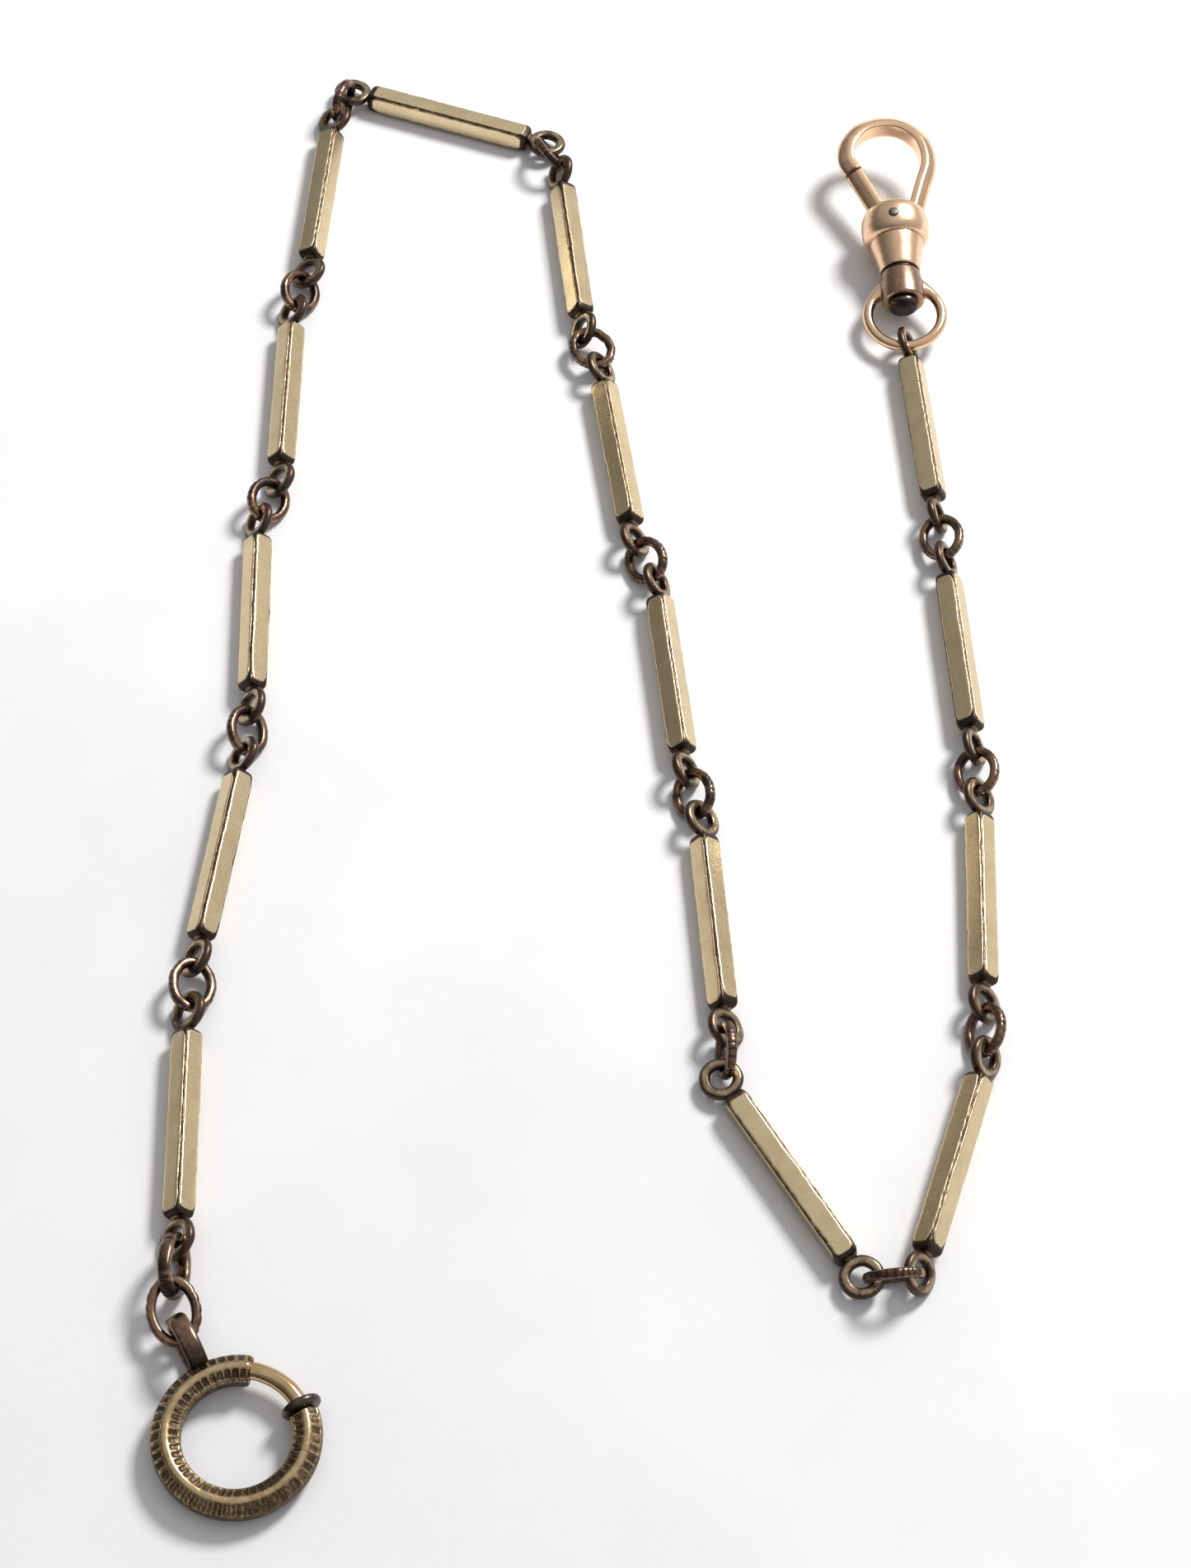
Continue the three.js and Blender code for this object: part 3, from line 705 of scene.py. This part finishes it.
def make_rings():
    size = (RING_HALF_LENGTH, RING_HALF_WIDTH, RING_WIRE, RING_THICKNESS)
    for number in range(1, 15):
        node = f"jump_ring_{number:02d}"
        oval_ring(f"{node}_wire", node, RING_SEED + number, size, 25, 0.05)
    for number, thickness in END_THICKNESS.items():
        node = f"end_ring_{number}"
        size = (END_HALF_LENGTH, END_HALF_WIDTH, RING_WIRE, thickness)
        oval_ring(f"{node}_wire", node, END_RING_SEED + number, size, 19, 0.07, clean_face=0.22)


# ---------------------------------------------------------------- swivel clip


def clip_frame(turn_axis=None):
    """Frame of the clip: X along it to the hook, Y to the gate, Z up. The bow has its own Z."""
    along = Vector(joints["swivel_spin"]["axis"])
    up = -Vector(joints["gate_hinge"]["axis"]) if turn_axis is None else Vector(turn_axis)
    origin = Vector(joints["swivel_spin"]["pos_m"]) - along * SPIN_POINT * MM
    return frame_at(origin, along, up - along * up.dot(along))


def rounded_profile(points, radius, steps=5):
    """A [radius, x] profile with each inner corner rounded off over about radius."""
    points = [np.asarray(point, float) for point in points]
    out = [points[0]]
    for before, corner, after in zip(points, points[1:], points[2:]):
        back, on = before - corner, after - corner
        reach = min(radius, np.linalg.norm(back) * 0.45, np.linalg.norm(on) * 0.45)
        start = corner + back / np.linalg.norm(back) * reach
        end = corner + on / np.linalg.norm(on) * reach
        for t in np.linspace(0, 1, steps):
            out.append(start * (1 - t) ** 2 + corner * 2 * t * (1 - t) + end * t * t)
    out.append(points[-1])
    return out


def make_bow():
    """Ring and boss in one piece, melted together where the ring's wire widens into the boss.

    The draft is remeshed at 1 unit to a millimetre, because a voxel can't be that small in metres."""
    build = Build()
    profile = [(0.58, -1.3), (1.70, -1.3), (1.72, -0.2), (1.66, 0.6), (1.56, 1.36), (0.58, 1.36),
               (0.58, -1.3)]
    closed = rounded_profile(profile, 0.16)
    build.turned(closed[:-1], 96)
    angle = np.linspace(BOW_WIRE_START, BOW_WIRE_END, 150)
    edge = np.minimum(angle - BOW_WIRE_START, BOW_WIRE_END - angle)
    flare = np.clip(1 - edge / BOW_FLARE, 0, 1) ** 1.6
    section = superellipse(1, 1, 2.1, 28)
    rows = []
    for theta, grow in zip(np.radians(angle), flare):
        wide = BOW_WIRE + 0.50 * grow
        tall = BOW_WIRE + 0.24 * grow
        r = BOW_RADIUS - 0.10 * grow + section[:, 0] * wide
        x, y = BOW_CENTRE + r * math.cos(theta), r * math.sin(theta)
        rows.append(np.stack([x, y, section[:, 1] * tall], 1))
    build.loft(np.asarray(rows))
    rough = bpy.data.objects.new("bow_draft", build.mesh("bow_draft"))
    rough.data.transform(Matrix.Scale(1 / MM, 4))
    bpy.context.scene.collection.objects.link(rough)
    remesh = rough.modifiers.new("melt", "REMESH")
    remesh.mode = "VOXEL"
    remesh.voxel_size = 0.055
    ease = rough.modifiers.new("ease", "SMOOTH")
    ease.factor = 0.5
    ease.iterations = 7
    mesh = applied(rough)
    bpy.data.objects.remove(rough)
    co = np.array([v.co for v in mesh.vertices], float)
    mesh.transform(Matrix.Scale(MM, 4))
    out = np.hypot(co[:, 1], co[:, 2])
    on_boss = np.clip((co[:, 0] + 1.5) / 0.4, 0, 1) * np.clip((1.9 - out) / 0.2, 0, 1)
    under = np.clip((-1.1 - co[:, 0]) / 0.15, 0, 1) * (out < 1.9)
    tarnish = 0.12 + 0.70 * on_boss + 0.2 * under * on_boss
    mesh.attributes.new("tarnish", "FLOAT", "POINT").data.foreach_set("value", tarnish.astype(np.float32))
    mesh.attributes.new("seed", "FLOAT", "POINT").data.foreach_set(
        "value", np.full(len(co), 31.0, np.float32))
    mesh.polygons.foreach_set("use_smooth", [True] * len(mesh.polygons))
    place = clip_frame(joints["bow_swing"]["axis"])
    place_piece("swivel_bow_ring", mesh, place, [ROSE_GOLD], "swivel_bow", "swivel_bow", 60)


def make_pin_and_washer():
    build = Build()
    profile = rounded_profile([(0, -2.12), (0.55, -2.08), (0.95, -1.94), (1.2, -1.72), (1.22, -1.4),
                               (0.55, -1.37), (0.55, 3.4), (0, 3.4)], 0.09)
    radius = np.array([point[0] for point in profile])
    x = np.array([point[1] for point in profile])
    rim = np.exp(-((radius - 1.16) / 0.09) ** 2) * (x < -1.3)
    body = np.repeat((0.75 - 0.6 * rim)[1:-1], 72)
    build.turned(profile, 72, np.concatenate([body, [0.9, 0.9]]))
    place_piece("swivel_pin_button", build.mesh("swivel_pin_button", 5.0), clip_frame(), [DARK_BRONZE],
                "swivel_pin", "swivel_barrel")
    build = Build()
    ring = rounded_profile([(0.58, 1.4), (1.46, 1.4), (1.46, 1.56), (0.58, 1.56), (0.58, 1.4)], 0.06)
    build.turned(ring[:-1], 72, 0.7)
    place_piece("swivel_washer_ring", build.mesh("swivel_washer_ring", 9.0), clip_frame(), [DARK_BRONZE],
                "swivel_washer", "swivel_barrel")


def make_barrel():
    """Flared barrel and bead-like collar, with the slot that the gate swings in."""
    build = Build()
    profile = [(0.61, 1.6), (1.56, 1.6), (1.62, 1.72), (1.86, 3.05), (2.13, 4.24), (2.06, 4.38), (2.36, 4.52),
               (2.56, 4.82), (2.68, 5.3), (2.71, 5.9), (2.66, 6.5), (2.48, 7.0), (2.12, 7.36), (1.5, 7.58),
               (0.61, 7.6), (0.61, 1.6)]
    closed = rounded_profile(profile, 0.2)
    build.turned(closed[:-1], 128)
    place = clip_frame()
    draft = bpy.data.objects.new("barrel_draft", build.mesh("barrel_draft", 12.0))
    bpy.context.scene.collection.objects.link(draft)
    cutter_mesh = bpy.data.meshes.new("slot_cutter")
    x, y, z = SLOT_BOX
    corners = [(i, j, k) for i in x for j in y for k in z]
    faces = [(0, 1, 3, 2), (4, 6, 7, 5), (0, 4, 5, 1), (2, 3, 7, 6), (0, 2, 6, 4), (1, 5, 7, 3)]
    cutter_mesh.from_pydata([Vector(corner) * MM for corner in corners], [], faces)
    cutter = bpy.data.objects.new("slot_cutter", cutter_mesh)
    bpy.context.scene.collection.objects.link(cutter)
    slot = draft.modifiers.new("slot", "BOOLEAN")
    slot.operation = "DIFFERENCE"
    slot.object = cutter
    slot.solver = "EXACT"
    mesh = applied(draft)
    bpy.data.objects.remove(draft)
    bpy.data.objects.remove(cutter)
    co = np.array([v.co for v in mesh.vertices], float) / MM
    radius = np.hypot(co[:, 1], co[:, 2])
    neck = np.exp(-((co[:, 0] - BARREL_NECK) / 0.09) ** 2)
    foot = np.exp(-((co[:, 0] - BARREL_FOOT) / 0.06) ** 2)
    inside = (radius < 1.5).astype(float)
    tarnish = np.clip(0.06 + 0.55 * neck + 0.5 * foot + 0.8 * inside, 0, 1)
    mesh.attributes["tarnish"].data.foreach_set("value", tarnish.astype(np.float32))
    mesh.polygons.foreach_set("use_smooth", [True] * len(mesh.polygons))
    place_piece("swivel_barrel_collar", mesh, place, [SATIN_ROSE], "swivel_barrel", "swivel_barrel",
                35)


# Section of hook and gate, as (towards the clip's eye, up): upright inner wall, crest, sloping flank.
STRIP = [(0.68, 0.66), (0.60, 0.77), (0.10, 0.80), (-0.40, 0.44), (-0.64, 0.16), (-0.64, -0.16),
         (-0.40, -0.44), (0.10, -0.80), (0.60, -0.77), (0.68, -0.66)]
HOOK_PATH = [(5.5, -1.35), (7.6, -1.85), (10.0, -2.6), (12.3, -3.3), (14.7, -2.9), (16.15, -1.4),
             (16.4, 0.3), (15.8, 2.0), (14.2, 3.2), (12.6, 3.4), GATE_TIP]


def near_slit(path):
    """Light tarnish along hook or gate, and painted shade that darkens their ends at the slit between them.
    """
    away = np.linalg.norm(np.asarray(path) - GATE_TIP, axis=1)
    # Painted shade: within about 0.2 mm of the slit, the ends facing across the gap are darkened.
    return (0.06 + 0.9 * np.exp(-(away / 0.22) ** 2))[:, None]


def make_hook():
    build = Build()
    path = curved(HOOK_PATH, 160)
    section = eased(np.asarray(STRIP), 0.16)
    build.loft(swept_flat(path, section), near_slit(path))
    place_piece("hook_strip", build.mesh("hook_strip", 21.0), clip_frame(), [ROSE_GOLD], "hook_frame",
                "swivel_barrel", 50)


def make_gate():
    pivot, tip = np.array([RIVET_ALONG, RIVET_ACROSS]), np.array(GATE_TIP)
    back = (pivot - tip) / np.linalg.norm(pivot - tip)
    path = curved([tip + back * SLIT, tip * 0.5 + pivot * 0.5, pivot], 40)
    section = eased(np.asarray(STRIP), 0.16)
    build = Build()
    build.loft(swept_flat(path, section), near_slit(path))
    knuckle = rounded_profile([(0, -0.75), (GATE_KNUCKLE, -0.75), (GATE_KNUCKLE, 0.75), (0, 0.75)], 0.08)
    build.turned(knuckle, 48, 0.3)
    stand = Matrix.Translation(Vector((*pivot, 0)) * MM) @ Matrix.Rotation(-math.pi / 2, 4, "Y")
    points = build.points[-1]
    build.points[-1] = np.array([stand.to_3x3() @ Vector(point) for point in points]) + [*pivot, 0]
    place_piece("gate_strip", build.mesh("gate_strip", 23.0), clip_frame(), [ROSE_GOLD], "gate", "gate",
                50)


def make_rivet():
    build = Build()
    r, h = RIVET_RADIUS, RIVET_REACH
    profile = rounded_profile([(0, -h), (r, -h), (r, h - 0.05), (r * 0.6, h + 0.02), (0, h + 0.03)], 0.08)
    build.turned(profile, 40, 0.85)
    points = build.points[-1]
    build.points[-1] = np.stack([points[:, 1] + RIVET_ALONG, points[:, 2] + RIVET_ACROSS, points[:, 0]], 1)
    place_piece("gate_rivet_pin", build.mesh("gate_rivet_pin", 4.0), clip_frame(), [STEEL], "gate_rivet",
                "swivel_barrel")


# ---------------------------------------------------------------- spring ring


def spring_frame():
    """Frame of the spring ring: Z its axis, X towards the tab."""
    centre = Vector(joints["bolt_retract"]["pos_m"])
    axis = Vector(joints["bolt_retract"]["axis"])
    if axis.z < 0:
        axis = -axis
    tab, _ = surface_moments("spring_ring_tab")
    toward = tab - centre
    return frame_at(centre, toward - axis * toward.dot(axis), axis)


def tube_profile(count=104):
    """Section of the engraved tube as (outward, up): a narrow crest, sloping flanks, upright walls."""
    keys = [(-0.97, -0.50), (-0.97, 0.30), (-0.90, 0.46), (-0.74, 0.62), (-0.20, 0.93), (-0.10, 0.97),
            (0.08, 0.97), (0.18, 0.93), (0.68, 0.62), (0.86, 0.40), (0.97, 0.05), (0.93, -0.40),
            (0.62, -0.88), (0.45, -0.97), (-0.5, -0.97), (-0.68, -0.88)]
    keys = eased(np.asarray(keys), 0.2, 1)
    keys = np.concatenate([keys, keys[:1]])
    length = np.concatenate([[0], np.cumsum(np.linalg.norm(np.diff(keys, axis=0), axis=1))])
    even = np.linspace(0, length[-1], count, endpoint=False)
    return np.stack([np.interp(even, length, keys[:, k]) for k in range(2)], 1)


def notches(angle, pitch, phase, width):
    """Wedge-shaped cuts round the ring, 1 in a cut and 0 on the ribs. width is that across the flank."""
    wave = 0.5 + 0.5 * np.cos(2 * math.pi * (angle - phase) / pitch)
    return np.clip(1.6 * (1 - wave[:, None] ** width[None, :]) - 0.15, 0, 1)


def engraved(angle, rng, worn):
    """Rows, and tarnish with painted shade and highlight, of a stretch of engraved tube. worn is the wear at
    each angle, from 0 to 1.
    """
    profile = tube_profile()
    out, up = profile[:, 0], profile[:, 1]
    # inner and outer are 1 where the two rows of notches are cut, and fine is 1 along the stretch
    # where the outer row is cut twice as close.
    top = np.clip((up - 0.5) / 0.1, 0, 1)
    inner = np.clip((-out - 0.24) / 0.12, 0, 1) * np.clip((out + 0.86) / 0.12, 0, 1) * top
    outer = np.clip((out - 0.22) / 0.16, 0, 1) * np.clip((0.92 - out) / 0.12, 0, 1)
    outer = outer * np.clip((up - 0.30) / 0.2, 0, 1)
    fine = np.clip((angle - FINE_FROM) / 8, 0, 1) * np.clip((FINE_TO - angle) / 8, 0, 1)
    drift = wobble(rng, angle, 9, 0.5)
    width_in = 0.25 + 3.2 * np.clip((-out - 0.2) / 0.6, 0, 1)
    width_out = 0.25 + 3.0 * np.clip((out - 0.2) / 0.6, 0, 1)
    coarse_out = notches(angle + drift, NOTCH_PITCH, 3.1, width_out)
    fine_out = notches(angle + drift, FINE_PITCH, 0, width_out)
    row_out = coarse_out * (1 - fine)[:, None] + fine_out * fine[:, None]
    depth = NOTCH_DEPTH * (1 - 0.75 * worn)
    deep_in = depth * (0.8 + wobble(rng, angle, 4, 0.2))
    deep_out = depth * (1 - 0.45 * fine) * (0.8 + wobble(rng, angle, 3, 0.2))
    drop = deep_in[:, None] * notches(angle + drift, NOTCH_PITCH, 0, width_in) * inner
    drop = drop + deep_out[:, None] * row_out * outer
    sink = wobble(rng, angle, 6, 0.008)[:, None]
    r = TUBE_RADIUS + out[None, :] * (1 - 0.06 * drop) + np.sign(out)[None, :] * -0.25 * drop
    z = up[None, :] - drop + sink
    theta = np.radians(angle)[:, None]
    rows = np.stack([r * np.cos(theta), r * np.sin(theta), z], 2)
    wall = np.clip((0.42 - up) / 0.15, 0, 1)
    crest = np.clip((up - 0.9) / 0.05, 0, 1)
    # Painted shade: wall darkens the low walls of the section. Painted highlight: crest lightens the narrow
    # crest. The notches (drop) and the wear (worn) add real tarnish.
    tarnish = 0.50 + 0.34 * wall[None, :] - 0.42 * crest[None, :] + 3.6 * drop
    tarnish = tarnish + (0.28 * worn)[:, None] * (1 - wall)[None, :] + wobble(rng, angle, 2.5, 0.05)[:, None]
    return rows, np.clip(tarnish, 0, 1)


def bore_rows(angle, radius, count):
    """Round bore along the ring's arc, one section at each angle, in step with the profile's points."""
    profile = tube_profile(count)
    turn = np.arctan2(profile[:, 1], profile[:, 0])
    theta = np.radians(angle)[:, None]
    r = TUBE_RADIUS + radius * np.cos(turn)[None, :]
    z = np.broadcast_to(radius * np.sin(turn), (len(angle), count))
    return np.stack([r * np.cos(theta), r * np.sin(theta), z], 2)


def round_mouth(rows, angle, end, reach, amount):
    """Draws the section in a little towards an open end, as a rounded shoulder."""
    gone = np.clip(1 - abs(angle - end) / reach, 0, 1) ** 2 * amount
    theta = np.radians(angle)
    centre = np.stack([TUBE_RADIUS * np.cos(theta), TUBE_RADIUS * np.sin(theta), 0 * theta], 1)[:, None, :]
    return centre + (rows - centre) * (1 - gone)[:, None, None]


def make_tube():
    rng = np.random.default_rng(TUBE_SEED)
    last = 360 + SOCKET_BACK - 0.5
    angle = np.linspace(MOUTH_ANGLE, last, 620)
    worn = np.exp(-((angle - MOST_WORN_AT) / WORN_SPREAD) ** 2) * 0.9
    rows, tarnish = engraved(angle, rng, worn)
    rows = round_mouth(rows, angle, MOUTH_ANGLE, 3.5, 0.12)
    build = Build()
    build.pipe(rows, bore_rows(angle, TUBE_BORE, rows.shape[1]), tarnish)
    place_piece("spring_ring_engraved", build.mesh("spring_ring_engraved", 2.0), spring_frame(), [OLD_GOLD],
                "spring_ring_tube", "spring_ring", 50)


def make_socket():
    rng = np.random.default_rng(SOCKET_SEED)
    angle = np.linspace(SOCKET_BACK, SOCKET_ANGLE, 110)
    rows, tarnish = engraved(angle, rng, np.full(len(angle), 0.0))
    rows = round_mouth(rows, angle, SOCKET_ANGLE, 2.0, 0.05)
    build = Build()
    build.pipe(rows, bore_rows(angle, TUBE_BORE, rows.shape[1]), tarnish * 0.85)
    place_piece("spring_ring_end_piece", build.mesh("spring_ring_end_piece", 6.0), spring_frame(), [OLD_GOLD],
                "spring_ring_socket", "spring_ring", 50)


def make_bolt():
    start, end = SOCKET_ANGLE - BOLT_OVERLAP, MOUTH_ANGLE + BOLT_TAIL
    angle = np.linspace(start, end, 130)
    to_tip = (angle - start) * math.pi / 180 * TUBE_RADIUS
    radius = BOLT_RADIUS * np.sqrt(np.clip(1 - (1 - np.clip(to_tip / 0.3, 0, 1)) ** 2 * 0.6, 0, 1))
    turn = np.linspace(0, 2 * math.pi, 40, endpoint=False)
    r = TUBE_RADIUS + radius[:, None] * np.cos(turn)
    z = radius[:, None] * np.sin(turn)
    theta = np.radians(angle)[:, None]
    build = Build()
    build.loft(np.stack([r * np.cos(theta), r * np.sin(theta), z], 2), 0.1)
    place_piece("spring_ring_latch", build.mesh("spring_ring_latch", 8.0), spring_frame(), [BOLT_GOLD],
                "spring_ring_bolt", "spring_ring_bolt", 50)


def make_thumb_ring():
    """Thumb collar on the bolt: a fat rounded ring."""
    build = Build()
    inner = BOLT_RADIUS + 0.02
    middle, half = (THUMB_RADIUS + inner) / 2, (THUMB_RADIUS - inner) / 2
    section = superellipse(half, THUMB_HALF, 2.3, 28)
    profile = [(middle + a, b) for a, b in section]
    build.turned(profile, 72, 0.35)
    points = build.points[-1]
    theta = radians(THUMB_ANGLE)
    r = TUBE_RADIUS + points[:, 1]
    along = points[:, 0]
    x = r * math.cos(theta) - along * math.sin(theta)
    y = r * math.sin(theta) + along * math.cos(theta)
    build.points[-1] = np.stack([x, y, points[:, 2]], 1)
    place_piece("spring_ring_thumb", build.mesh("spring_ring_thumb", 3.0), spring_frame(), [DARK_BRONZE],
                "spring_ring_collar", "spring_ring_bolt")


def make_tab():
    """Broad loop that stands on the tube: an open band whose feet run into the tube's wall."""
    rng = np.random.default_rng(TAB_SEED)
    angle = np.radians(np.linspace(-163, 163, 120))
    normal = np.stack([TAB_HALF_WIDTH * np.cos(angle), TAB_HALF_LENGTH * np.sin(angle)], 1)
    normal /= np.linalg.norm(normal, axis=1)[:, None]
    centre = np.stack([TAB_HALF_LENGTH * np.cos(angle), TAB_HALF_WIDTH * np.sin(angle)], 1)
    section = superellipse(TAB_WIRE / 2, TAB_WIDTH / 2, 2.9, 36)
    rows = []
    for place, out, turn in zip(centre, normal, angle):
        wide = 1.0 - 0.06 * abs(turn) / math.pi
        flat = place + out * section[:, :1]
        x = TAB_REACH - TAB_HALF_LENGTH + flat[:, 0]
        rows.append(np.stack([x, section[:, 1] * wide, flat[:, 1]], 1))
    rows = np.asarray(rows)
    foot = np.clip((abs(angle) - 1.2) / 1.0, 0, 1)
    tarnish = 0.25 + 0.6 * foot + wobble(rng, angle, 0.3, 0.05)
    build = Build()
    build.loft(rows, np.clip(tarnish, 0, 1)[:, None])
    place_piece("spring_ring_loop", build.mesh("spring_ring_loop", 14.0), spring_frame(), [RING_BROWN],
                "spring_ring_tab", "spring_ring", 60)


# ---------------------------------------------------------------- the scene

add_camera()
add_world()
add_floor()
add_key_light()
for index in range(1, 16):
    make_bar(index)
    make_eyes(index)
make_rings()
make_bow()
make_pin_and_washer()
make_barrel()
make_hook()
make_gate()
make_rivet()
make_tube()
make_socket()
make_bolt()
make_thumb_ring()
make_tab()
for hidden in ("gate_spring", "spring_ring_coil"):
    nodes[hidden].data.materials.clear()
    nodes[hidden].data.materials.append(STEEL)
